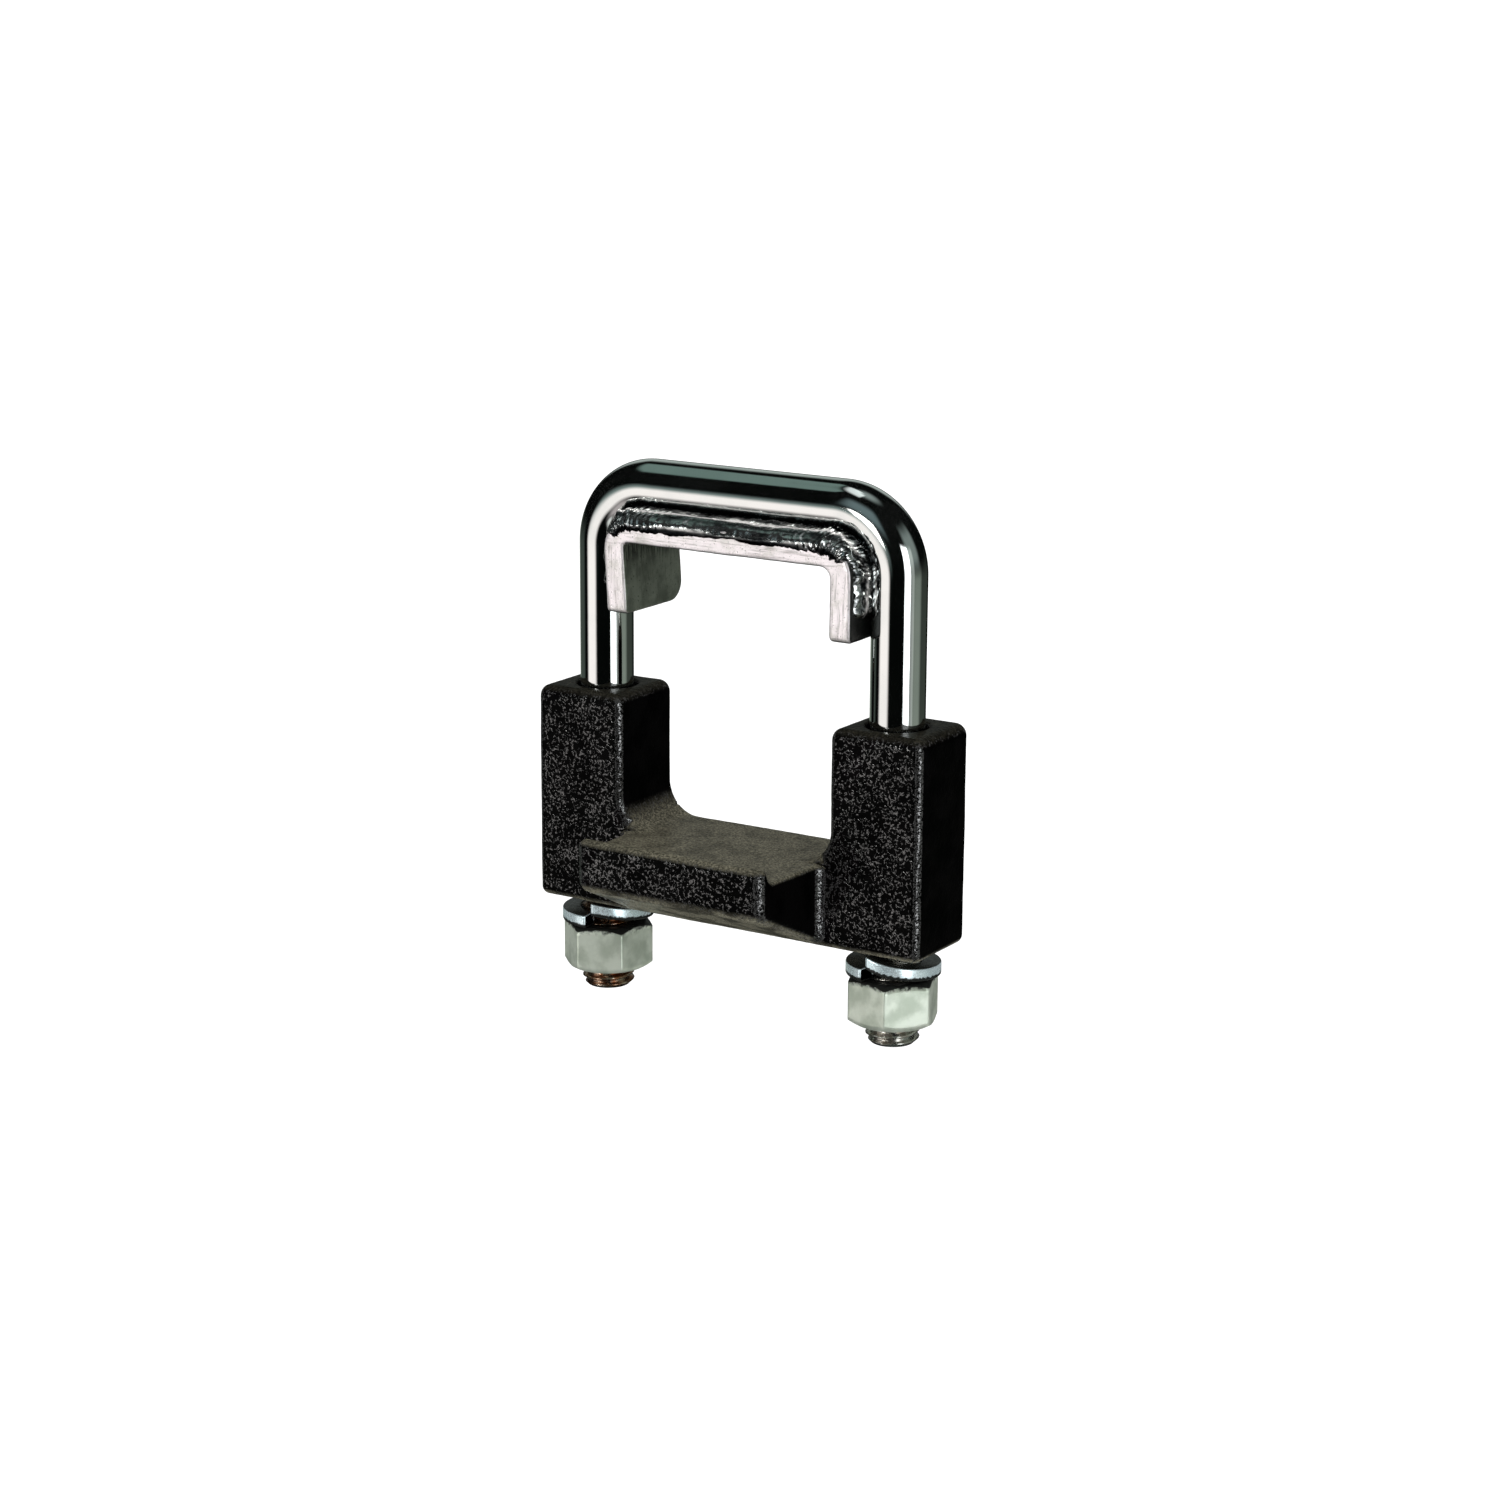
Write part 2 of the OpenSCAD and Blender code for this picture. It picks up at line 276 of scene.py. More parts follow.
def paint_material():
    """Black hammered paint: short glints on the rims of its cells, a painted sheen on its tops and a
    painted reflection of the floor on its undersides.
    """
    material, g, shader = principled("black_hammered_paint")
    cells = g.noise(0.85, detail=1.5, roughness=0.5, distortion=0.4)
    fine = g.noise(4.0, detail=2, roughness=0.5)
    specks = g.noise(2.0, detail=4, roughness=0.65)
    clouds = g.noise(0.14, detail=3, roughness=0.55)
    # Painted sheen: grey-brown on what looks up, faint on the post tops, and a painted reflection of the
    # floor on what looks down.
    sheen_height_fade = g.ramp(g.place()[2], 8 * MM, 20 * MM, 1, 0.15)
    up, down = facing_parts(g)
    black = g.mix(g.ramp(clouds, 0.35, 0.65), (0.0004, 0.0004, 0.0004, 1), (0.0014, 0.0013, 0.0013, 1))
    top_sheen = g.mix(g.ramp(specks, 0.38, 0.68), (0.042, 0.040, 0.029, 1), (0.18, 0.168, 0.122, 1))
    underside_sheen = g.mix(g.ramp(specks, 0.38, 0.68), (0.085, 0.080, 0.058, 1), (0.21, 0.20, 0.15, 1))
    color = g.mix(g.math("MULTIPLY", g.math("MULTIPLY", up, g.ramp(clouds, 0.36, 0.56, 0.65, 1)), sheen_height_fade),
                  black, top_sheen)
    color = g.mix(g.math("MULTIPLY", down, g.ramp(clouds, 0.38, 0.54, 0.3, 1)), color, underside_sheen)
    # Glossy metallic specks on the rims of the cells, massed on the rounded vertical edges and left off
    # faces that look along X or up: placed by facing, a painted highlight on the edges and painted shade
    # on the sides.
    normal = g.normal()
    across = g.math("ABSOLUTE", normal[0])
    flanks = g.ramp(across, 0.97, 0.85)
    corners = g.math("MULTIPLY", g.ramp(across, 0.3, 0.5),
                     g.ramp(g.math("ABSOLUTE", normal[1]), 0.3, 0.5))
    level = g.math("ADD", cells, g.ramp(fine, 0.3, 0.7, -0.035, 0.035))
    rims = g.ramp(g.math("ABSOLUTE", g.math("SUBTRACT", level, 0.52)), 0.045, 0.006)
    broken = g.math("ADD", g.noise(1.5, detail=1), g.ramp(clouds, 0.35, 0.65, -0.05, 0.05))
    rims = g.math("MULTIPLY", rims, g.math("MULTIPLY", g.ramp(broken, 0.43, 0.56), flanks))
    rims = g.math("MAXIMUM", rims, g.math("MULTIPLY", corners, g.ramp(specks, 0.46, 0.56)))
    rims = g.math("MULTIPLY", rims, g.math("SUBTRACT", 1, up))
    g.plug(g.mix(rims, color, (0.15, 0.15, 0.148, 1)), shader.inputs["Base Color"])
    g.plug(rims, shader.inputs["Metallic"])
    shader.inputs["Specular IOR Level"].default_value = 0.015
    g.plug(g.ramp(rims, 0, 1, 0.3, 0.2), shader.inputs["Roughness"])
    broad = g.bump(g.ramp(cells, 0.32, 0.62), 0.07, 0.8)
    g.plug(g.bump(fine, 0.02, 0.4, broad), shader.inputs["Normal"])
    return material


def bracket_material():
    """Plated bar: satin, brushed along its length, with pits and stains, and painted shade: sides darker
    than the front, near black on the right and underneath, and a painted shadow under the bar.
    """
    material, g, shader = principled("plated_bar")
    place, normal = g.place(), g.normal()
    under = (bracket_high.z - BAR_T) * MM
    on_top = g.ramp(place[2], under - 1.5 * MM, under + 0.5 * MM)
    # Masks for painted shade: a painted shadow under the bar at the top of the sides, the right side,
    # the sides and the undersides.
    shade = g.ramp(place[2], under - 7 * MM, under - 1 * MM)
    right = g.ramp(place[0], -5 * MM, 5 * MM)
    aside = g.ramp(g.math("ABSOLUTE", normal[0]), 0.55, 0.9)
    below = g.ramp(normal[2], -0.35, -0.85)
    stains = g.noise(0.2, detail=5, roughness=0.62)
    pits = g.noise(1.5, detail=4, roughness=0.7)
    brushed = g.mix(on_top, g.noise(1.7, detail=4, roughness=0.65, stretch=(1, 1, 0.07)),
                    g.noise(1.7, detail=4, roughness=0.65, stretch=(0.07, 1, 1)))
    front = g.mix(g.ramp(stains, 0.42, 0.7), (0.86, 0.81, 0.82, 1), (0.62, 0.60, 0.57, 1))
    front = g.mix(g.ramp(brushed, 0.5, 0.68, 0, 0.7), front, (0.30, 0.28, 0.27, 1))
    # The sides in painted shade: darker than the front, darker still under the bar and near black on the
    # right.
    flank = g.mix(g.ramp(stains, 0.35, 0.68), (0.18, 0.205, 0.16, 1), (0.09, 0.105, 0.08, 1))
    flank = g.mix(g.ramp(brushed, 0.5, 0.75, 0, 0.5), flank, (0.05, 0.055, 0.04, 1))
    flank = g.mix(g.math("MULTIPLY", shade, g.ramp(brushed, 0.35, 0.6)), flank, (0.008, 0.009, 0.006, 1))
    flank = g.mix(right, flank, (0.012, 0.013, 0.012, 1))
    # The undersides in painted shade, near black.
    base = g.mix(below, g.mix(aside, front, flank), (0.015, 0.015, 0.013, 1))
    g.plug(g.mix(g.ramp(pits, 0.6, 0.74, 0, 0.7), base, (0.06, 0.06, 0.055, 1)),
           shader.inputs["Base Color"])
    shader.inputs["Metallic"].default_value = 0.6
    g.plug(g.ramp(pits, 0.3, 0.7, 0.26, 0.42), shader.inputs["Roughness"])
    g.plug(g.bump(pits, 0.03, 0.45, g.bump(brushed, 0.05, 0.5)), shader.inputs["Normal"])
    return material


def weld_material():
    """Plated weld metal: bright, with dark sooty patches, painted shade from an attribute of the bead,
    and a painted highlight along its top.
    """
    material, g, shader = principled("weld_metal")
    soot_and_shade = g.noise(0.5, detail=5, roughness=0.65, stretch=(0.35, 1, 1))
    metal = g.mix(g.ramp(soot_and_shade, 0.42, 0.66), (0.82, 0.84, 0.83, 1), (0.07, 0.08, 0.08, 1))
    # Painted highlight: a narrow band along the bead's top, light and less metallic.
    painted_highlight = g.node("ShaderNodeAttribute", attribute_name="painted_highlight").outputs["Fac"]
    metal = g.mix(painted_highlight, metal, (0.85, 0.82, 0.80, 1))
    # Painted shade from the bead's attribute, patchy with the sooty noise.
    bead_shade = g.node("ShaderNodeAttribute", attribute_name="soot_and_shade").outputs["Fac"]
    g.plug(g.mix(g.math("MULTIPLY", bead_shade, g.ramp(soot_and_shade, 0.25, 0.5, 0.8, 1)), metal,
                 (0.006, 0.007, 0.008, 1)), shader.inputs["Base Color"])
    g.plug(g.ramp(painted_highlight, 0, 1, 1, 0.3), shader.inputs["Metallic"])
    g.plug(g.ramp(soot_and_shade, 0.3, 0.7, 0.12, 0.32), shader.inputs["Roughness"])
    g.plug(g.bump(g.noise(1.6, detail=3), 0.04, 0.5), shader.inputs["Normal"])
    return material


def zinc_material(name, bright, dull, rough, grain_mm, shade_above_z=None):
    """Zinc plate between two colours with a grain, and black painted shade.

    The painted shade lies on what looks up and above the height in the last argument, in millimetres.
    Without a height, it lies on what looks up and where the mesh's level attribute is low, which counts
    millimetres above the middle of the washer's section.
    """
    material, g, shader = principled(name)
    cloud = g.noise(0.22, detail=4)
    grain = g.noise(1 / grain_mm, detail=4, roughness=0.6)
    plate = g.mix(g.ramp(cloud, 0.35, 0.68), (*bright, 1), (*dull, 1))
    # Black painted shade on all that looks up, and on the washer's lower edge or on the nut above the
    # given height.
    if shade_above_z is None:
        level = g.node("ShaderNodeAttribute", attribute_name="level").outputs["Fac"]
        level = g.math("ADD", level, g.ramp(grain, 0.3, 0.7, -0.2, 0.2))
        painted_shade = g.ramp(level, -0.4, -0.75)
    else:
        ragged = g.ramp(g.noise(0.9, detail=3), 0.3, 0.7, -0.5 * MM, 0.5 * MM)
        height = g.math("ADD", g.place()[2], ragged)
        painted_shade = g.ramp(height, (shade_above_z - 0.6) * MM, (shade_above_z + 0.6) * MM)
    painted_shade = g.math("MAXIMUM", painted_shade, facing_parts(g)[0])
    g.plug(g.mix(painted_shade, plate, (0.010, 0.011, 0.010, 1)), shader.inputs["Base Color"])
    g.plug(g.ramp(painted_shade, 0, 1, 0.65, 0, smooth=False), shader.inputs["Metallic"])
    g.plug(g.ramp(painted_shade, 0, 1, 0.5, 0.15), shader.inputs["Specular IOR Level"])
    g.plug(g.ramp(grain, 0.3, 0.7, rough, rough + 0.14), shader.inputs["Roughness"])
    g.plug(g.bump(grain, 0.02, 0.5), shader.inputs["Normal"])
    return material


CHROME = chrome_material()
THREAD = thread_material()
PAINT = paint_material()
BRACKET = bracket_material()
WELD = weld_material()
NUT_ZINC = zinc_material("zinc_nut", (0.66, 0.72, 0.62), (0.44, 0.50, 0.41), 0.34, 0.6, nut_high.z - 0.8)
WASHER_ZINC = zinc_material("zinc_washer", (0.80, 0.93, 0.96), (0.62, 0.75, 0.78), 0.2, 0.8)

# ---------------------------------------------------------------- mesh helpers


def smooth_step(values, low, high):
    """Takes low..high to 0..1 along an S curve, held at both ends."""
    t = np.clip((values - low) / (high - low), 0, 1)
    return t * t * (3 - 2 * t)


def mesh_piece(name, points_mm, faces, material, body, replaced):
    """A piece made from points in millimetres, which stands for CAD nodes and rides on a body."""
    mesh = bpy.data.meshes.new(name)
    mesh.from_pydata((np.asarray(points_mm) * MM).tolist(), [], faces)
    mesh.validate()
    mesh.update()
    mesh.polygons.foreach_set("use_smooth", [True] * len(mesh.polygons))
    mesh.materials.append(material)
    piece = bpy.data.objects.new(name, mesh)
    bpy.context.collection.objects.link(piece)
    finish_piece(piece, body, replaced)
    return piece


def finish_piece(piece, body, replaced):
    """Says which body a piece rides on and the CAD nodes it stands for."""
    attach(piece, body)
    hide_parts(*replaced)


def grid_faces(rows, columns, closed_rows=False):
    """Quads of a grid of points, row after row; each row is a closed ring, and the rows may be too."""
    faces = []
    for i in range(rows if closed_rows else rows - 1):
        low, high = i * columns, (i + 1) % rows * columns
        for j in range(columns):
            k = (j + 1) % columns
            faces.append((low + j, low + k, high + k, high + j))
    return faces


def value_noise(points, size, seed):
    """Smooth noise from -1 to 1, with features of about size."""
    lattice = np.random.default_rng(seed).uniform(-1, 1, (32, 32, 32))
    p = np.asarray(points) / size
    cell = np.floor(p).astype(int)
    f = p - cell
    f = f * f * (3 - 2 * f)
    total = 0.0
    for corner in np.ndindex(2, 2, 2):
        weight = np.prod(np.where(np.array(corner) == 1, f, 1 - f), axis=1)
        i, j, k = ((cell + corner) % 32).T
        total = total + weight * lattice[i, j, k]
    return total


# ---------------------------------------------------------------- distance functions, in mm


def length2(a, b):
    """Distance out of a corner, from the two distances past its sides."""
    return np.hypot(np.maximum(a, 0), np.maximum(b, 0))


def round_and(a, b, r):
    """The overlap of two shapes, with an edge of radius r."""
    return np.minimum(np.maximum(a, b), -r) + length2(a + r, b + r)


def round_or(a, b, r):
    """Two shapes joined, with a fillet of radius r."""
    return -round_and(-a, -b, r)


def rounded_rect(x, y, half_x, half_y, r):
    """Distance to a rectangle round the origin with corners of radius r."""
    a, b = np.abs(x) - half_x + r, np.abs(y) - half_y + r
    return length2(a, b) + np.minimum(np.maximum(a, b), 0) - r


def casting_distance(p):
    """Distance to the saddle: a slotted block, a tongue with a lip, and two bores."""
    x, y, z = p.T
    middle_z = (casting_low.z + casting_high.z) / 2
    half_z = (casting_high.z - casting_low.z) / 2
    corner_r = np.where(z > middle_z, POST_TOP_R, BASE_R)
    outer = rounded_rect(x, z - middle_z, casting_high.x, half_z, corner_r)
    slot_half = 60
    slot = rounded_rect(x, z - slot_half, POST_GAP / 2, slot_half, SLOT_R)
    body = round_and(round_and(outer, -slot, SLOT_EDGE_R), np.abs(y) - casting_high.y, EDGE_R)

    front_y = -casting_high.y
    slope = (TONGUE_ROOT_HALF - TONGUE_TIP_HALF) / (front_y - TONGUE_TIP_Y)
    sides = np.abs(x) - TONGUE_TIP_HALF - slope * (y - TONGUE_TIP_Y)
    plan = round_or(round_and(sides, TONGUE_TIP_Y - y, TONGUE_CORNER_R), front_y - y, TONGUE_FILLET_R)
    tip_y, tip_z = TONGUE_TIP_Y + TIP_R, -TONGUE_TIP_T + TIP_R
    web_y, web_z = front_y + EDGE_R, casting_low.z + EDGE_R
    run = math.hypot(web_y - tip_y, web_z - tip_z)
    down = math.atan2(web_z - tip_z, web_y - tip_y) - math.pi / 2 + math.asin((TIP_R - EDGE_R) / run)
    under = (y - tip_y) * math.cos(down) + (z - tip_z) * math.sin(down) - TIP_R
    lip = round_and(y - TONGUE_TIP_Y - LIP_T, z - LIP_H, LIP_R)
    side_view = np.maximum(round_or(z, lip, LIP_FILLET_R), under)
    edge = TONGUE_EDGE_R + 0.9 * smooth_step(np.abs(z), 0, LIP_H)
    tongue = round_and(plan, side_view, edge)
    inside = np.maximum(np.maximum(y - web_y, casting_low.z - z), np.abs(x) - POST_GAP / 2 - 1.5)

    solid = np.minimum(body, np.maximum(tongue, inside))
    bore = np.hypot(np.abs(x) - LEG_X, y) - BORE_R
    return round_and(solid, -bore, BORE_EDGE_R)


def lean_bracket(p, way=1):
    """The left leg's foot leans inwards; way -1 takes the lean back out."""
    x, y, z = p.T
    lean = LEFT_LEAN * smooth_step(bracket_high.z - z, 4, bracket_high.z - bracket_low.z)
    return np.stack([np.where(x < 0, x + way * lean, x), y, z], axis=1)


def bracket_distance(p):
    """Distance to the bracket: a bent bar with round rear corners on its feet."""
    x, y, z = lean_bracket(p, -1).T
    deep = 40
    inner_x, inner_z = bracket_high.x - BAR_T, bracket_high.z - BAR_T
    bend_r = np.where(x < 0, BAR_INNER_R_LEFT, BAR_INNER_R_RIGHT)
    outer = rounded_rect(x, z - bracket_high.z + deep, bracket_high.x, deep, BEND_R - ROD_R)
    inner = rounded_rect(x, z - inner_z + deep, inner_x, deep, bend_r)
    arch = np.maximum(outer, -inner)
    middle_y = (bracket_low.y + bracket_high.y) / 2
    half_y = (bracket_high.y - bracket_low.y) / 2
    corner = np.where(y > middle_y, FOOT_R_REAR, FOOT_R_FRONT)
    foot = rounded_rect(y - middle_y, z - bracket_low.z - deep, half_y, deep, corner)
    return round_and(arch, foot, BAR_EDGE_R)


def project(points, distance):
    """Moves points onto the surface where a distance function is zero, and gives their normals."""
    step, passes = 0.01, 5
    flattest, longest_move = 0.2, 1.0
    for _ in range(passes):
        slopes = [(distance(points + step * axis) - distance(points - step * axis)) / (2 * step)
                  for axis in np.eye(3)]
        normal = np.stack(slopes, axis=1)
        size = np.linalg.norm(normal, axis=1, keepdims=True)
        normal = normal / np.maximum(size, flattest)
        points = points - normal * np.clip(distance(points), -longest_move, longest_move)[:, None]
    return points, normal


def shaped_piece(name, node, distance, voxel_mm, relief, material, body, warp=None):
    """A CAD node's copy, remeshed, warped, drawn onto a distance function and given relief."""
    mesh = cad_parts[node].data.copy()
    mesh.name = name
    mesh.materials.clear()
    piece = bpy.data.objects.new(name, mesh)
    bpy.context.collection.objects.link(piece)
    remesh = piece.modifiers.new("remesh", "REMESH")
    remesh.mode = "VOXEL"
    remesh.voxel_size = voxel_mm * MM
    remesh.adaptivity = 0
    graph = bpy.context.evaluated_depsgraph_get()
    fine = bpy.data.meshes.new_from_object(piece.evaluated_get(graph))
    piece.modifiers.clear()
    piece.data = fine
    fine.name = name
    flat = np.empty(3 * len(fine.vertices))
    fine.vertices.foreach_get("co", flat)
    points = flat.reshape(-1, 3) / MM
    points, normal = project(warp(points) if warp else points, distance)
    points = points + normal * relief(points)[:, None]
    fine.vertices.foreach_set("co", (points * MM).ravel())
    fine.materials.clear()
    fine.materials.append(material)
    fine.polygons.foreach_set("use_smooth", [True] * len(fine.polygons))
    fine.update()
    finish_piece(piece, body, [node])
    return piece


# ---------------------------------------------------------------- casting and bracket


def casting_relief(points):
    """The uneven skin of a sand casting under thick paint, all of it inside the CAD's faces."""
    return value_noise(points, 9.0, 1) * 0.07 + value_noise(points, 1.1, 2) * 0.02 - 0.1


def bracket_relief(points):
    """The rolled and sheared skin of a flat bar, inside the CAD's faces like the casting's."""
    return value_noise(points, 6.0, 3) * 0.08 + value_noise(points, 1.2, 4) * 0.025 - 0.11


CASTING_VOXEL = 0.4
BRACKET_VOXEL = 0.4
shaped_piece("casting_skin", "saddle_casting", casting_distance, CASTING_VOXEL, casting_relief,
             PAINT, "saddle")
shaped_piece("bent_bar", "clamp_bracket", bracket_distance, BRACKET_VOXEL, bracket_relief,
             BRACKET, "u_bolt", lean_bracket)

# ---------------------------------------------------------------- U-bolt


def thread_radius(z, angle, offset=0.0):
    """Radius of the right-hand thread's surface at a height and an angle round a leg."""
    phase = (z - LEG_END_Z) / PITCH - angle / TAU
    from_crest = np.abs(phase - np.floor(phase) - 0.5) * PITCH
    return THREAD_R + offset - np.clip((from_crest - PITCH / 16) * math.sqrt(3), 0, THREAD_DEPTH)


def leg_radius(z, angle):
    """Radius of a leg: thread with a bevelled end below, plain rod above."""
    fade = smooth_step(z, THREAD_TOP_Z - 2 * PITCH, THREAD_TOP_Z)
    cut = thread_radius(z, angle) * (1 - fade) + ROD_R * fade
    bevel = THREAD_R - LEG_BEVEL + (z - LEG_END_Z)
    return np.minimum(cut, bevel)


def u_bolt_path():
    """Centres of the rod's rings from the left end to the right one, with their outward side."""
    rise = np.concatenate([np.arange(LEG_END_Z, THREAD_TOP_Z, PITCH / 14),
                           np.linspace(THREAD_TOP_Z, BEND_Z, 24)])
    turn = np.linspace(0, math.pi / 2, 49)[1:]
    across = np.linspace(-TOP_HALF, TOP_HALF, 33)[1:]
    ring = [((-LEG_X, z), (-1.0, 0.0)) for z in rise]
    ring += [((-TOP_HALF - BEND_R * math.cos(a), BEND_Z + BEND_R * math.sin(a)),
              (-math.cos(a), math.sin(a))) for a in turn]
    ring += [((x, CROWN_Z), (0.0, 1.0)) for x in across]
    ring += [((TOP_HALF + BEND_R * math.sin(a), BEND_Z + BEND_R * math.cos(a)),
              (math.sin(a), math.cos(a))) for a in turn]
    ring += [((LEG_X, z), (1.0, 0.0)) for z in rise[::-1][1:]]
    return ring


def make_u_bolt():
    """The rod as rings along its path, with a flat cap at each end and its own look on the thread."""
    sides = 96
    around = np.arange(sides) * TAU / sides
    out, depth = np.cos(around), np.sin(around)
    points = []
    rings = u_bolt_path()
    for (cx, cz), (nx, nz) in rings:
        radius = np.full(sides, ROD_R)
        if nz == 0 and cz < THREAD_TOP_Z:
            radius = leg_radius(cz, np.arctan2(depth, out * nx))
        points.append(np.stack([cx + radius * out * nx, radius * depth, cz + radius * out * nz], axis=1))
    first, last = points[0].mean(axis=0), points[-1].mean(axis=0)
    inset = [0.66, 0.33]
    caps = [first + (points[0] - first) * k for k in inset]
    caps += [last + (points[-1] - last) * k for k in inset]
    body = np.concatenate(points)
    faces = grid_faces(len(rings), sides)
    end = (len(rings) - 1) * sides
    left_cap = len(body)
    right_cap = left_cap + len(inset) * sides
    centre = right_cap + len(inset) * sides
    for j in range(sides):
        k = (j + 1) % sides
        faces.append((k, j, left_cap + j, left_cap + k))
        faces.append((left_cap + k, left_cap + j, left_cap + sides + j, left_cap + sides + k))
        faces.append((end + j, end + k, right_cap + k, right_cap + j))
        faces.append((right_cap + j, right_cap + k, right_cap + sides + k, right_cap + sides + j))
        faces.append((left_cap + sides + k, left_cap + sides + j, centre))
        faces.append((right_cap + sides + j, right_cap + sides + k, centre + 1))
    points = np.concatenate([body, *caps, [first], [last]])
    piece = mesh_piece("bent_rod", points, faces, CHROME, "u_bolt", ["u_bolt"])
    piece.data.materials.append(THREAD)
    centres = np.empty(3 * len(piece.data.polygons))
    piece.data.polygons.foreach_get("center", centres)
    threaded = centres.reshape(-1, 3)[:, 2] / MM < THREAD_TOP_Z - PITCH
    piece.data.polygons.foreach_set("material_index", threaded.astype(int).tolist())


make_u_bolt()

# ---------------------------------------------------------------- welds

WELD_Y = 6.85
WELD_IN = ROD_R + 1.35
WELD_HALF_Y = 4.15
WELD_HALF_IN = 3.1
RIPPLE = 1.75
BEAD_STEP = 0.18


def bead_route(start, stop, step):
    """Places along the rod, measured from its middle, with the rod's centre and outward side there."""
    straight, bend = TOP_HALF, BEND_R * math.pi / 2
    route = []
    for s in np.arange(start, stop, step):
        side, along = (1 if s >= 0 else -1), abs(s)
        if along < straight:
            centre, out = (s, CROWN_Z), (0.0, 1.0)
        elif along < straight + bend:
            a = (along - straight) / BEND_R
            centre = (side * (TOP_HALF + BEND_R * math.sin(a)), BEND_Z + BEND_R * math.cos(a))
            out = (side * math.sin(a), math.cos(a))
        else:
            centre, out = (side * LEG_X, BEND_Z - (along - straight - bend)), (side, 0.0)
        route.append((s, centre, out))
    return route


def bead_relief(s, around, marks):
    """Height of a bead's skin: slanted ripples, drawn-out streaks, and lumps or craters (marks)."""
    edge = smooth_step(np.abs(s), TOP_HALF - 10, TOP_HALF - 3)
    down = smooth_step(np.abs(s), TOP_HALF + 8, TOP_HALF + 16)
    phase = s / RIPPLE + 0.9 * np.cos(around) + 0.25 * np.sin(3 * around)
    phase = phase + 0.8 * value_noise(np.stack([s / 4, around, 0 * s], axis=1) + 9, 1.0, 33)
    saw = phase - np.floor(phase)
    ripple = (0.03 + 0.17 * edge * (1 - 0.5 * down)) * (np.minimum(saw / 0.7, (1 - saw) / 0.3) - 0.5)
    streaks = np.stack([s / 9, 3.2 * np.cos(around), 3.2 * np.sin(around)], axis=1)
    height = ripple + 0.22 * (1 - 0.5 * edge) * value_noise(streaks + 20, 1.0, 31)
    height = height + 0.32 * down * np.cos(3.4 * around - 1.2 + 0.5 * np.sin(s * 1.3))
    for at, angle, size, rise in marks:
        off = np.angle(np.exp(1j * (around - angle))) * WELD_HALF_IN
        height = height + rise * np.exp(-((s - at) ** 2 + off ** 2) / size ** 2)
    return height


def make_bead(name, node, start, stop, face, marks, tapers):
    """A bead between rod and bar, which tapers over a length at each of its ends.

    One attribute it carries is painted shade, high in the crevice at the rod, on the half away from the
    rod, in a band between the two and in the skin's hollows. The other is a painted highlight, a narrow
    band beside the crevice.
    """
    sides = 64
    route = bead_route(start, stop, BEAD_STEP)
    around = np.arange(sides) * TAU / sides
    points, normals, stations = [], [], []
    for s, (cx, cz), (nx, nz) in route:
        from_end = min((s - start) / tapers[0], (stop - s) / tapers[1], 1)
        close = math.sqrt(1 - (1 - from_end) ** 2) + 0.02
        across, outward = np.cos(around), np.sin(around)
        u = WELD_IN - WELD_HALF_IN * close * outward
        tucked = 1.7 * smooth_step(abs(s), TOP_HALF + 10, TOP_HALF + 20)
        y = WELD_Y - tucked + WELD_HALF_Y * close * across
        points.append(np.stack([cx - u * nx, face * y, cz - u * nz], axis=1))
        normals.append(np.stack([outward * nx, face * across, outward * nz], axis=1) * close)
        stations.append(np.full(sides, s))
    body = np.concatenate(points)
    normal = np.concatenate(normals)
    turn = np.tile(around, len(route))
    height = bead_relief(np.concatenate(stations), turn, marks) + np.exp(-((turn - 2.2) / 0.45) ** 2)
    height = height + value_noise(body, 2.4, 11) * 0.2 + value_noise(body, 0.8, 12) * 0.07
    body = body + normal * height[:, None]
    faces = grid_faces(len(points), sides)
    centre = len(body)
    for j in range(sides):
        k = (j + 1) % sides
        faces.append((k, j, centre))
        faces.append((centre - sides + j, centre - sides + k, centre + 1))
    if face > 0:
        faces = [tuple(reversed(f)) for f in faces]
    ends = [points[0].mean(axis=0), points[-1].mean(axis=0)]
    piece = mesh_piece(name, np.concatenate([body, ends]), faces, WELD, "u_bolt", [node])
    # Painted shade: in the crevice, on the half away from the rod, in a band and in the skin's hollows.
    turn = (turn + math.pi) % TAU - math.pi
    crevice = smooth_step(np.abs(turn), 1.50, 1.70)
    away = smooth_step(-turn, -0.25, 0.05)
    shaded = 0.8 * np.exp(-((turn - 0.9) / 0.22) ** 2)
    soot_and_shade = np.maximum(np.maximum(crevice, np.maximum(away, shaded)), smooth_step(-height, 0.1, 0.35))
    # A painted highlight: a narrow band beside the crevice.
    painted_highlight = np.exp(-((turn - 1.33) / 0.12) ** 2) * (1 - crevice)
    for key, values in (("soot_and_shade", soot_and_shade), ("painted_highlight", painted_highlight)):
        layer = piece.data.attributes.new(key, "FLOAT", "POINT")
        layer.data.foreach_set("value", np.concatenate([values, [0, 0]]).astype(np.float32))


def scattered_marks(seed, count, first, last, size, rise):
    """Lumps strewn over the visible side of a bead between two stations."""
    draw = np.random.default_rng(seed)
    return [(draw.uniform(first, last), draw.uniform(-0.6, 1.6), size * draw.uniform(0.6, 1.3),
             rise * draw.uniform(0.4, 1.2)) for _ in range(count)]


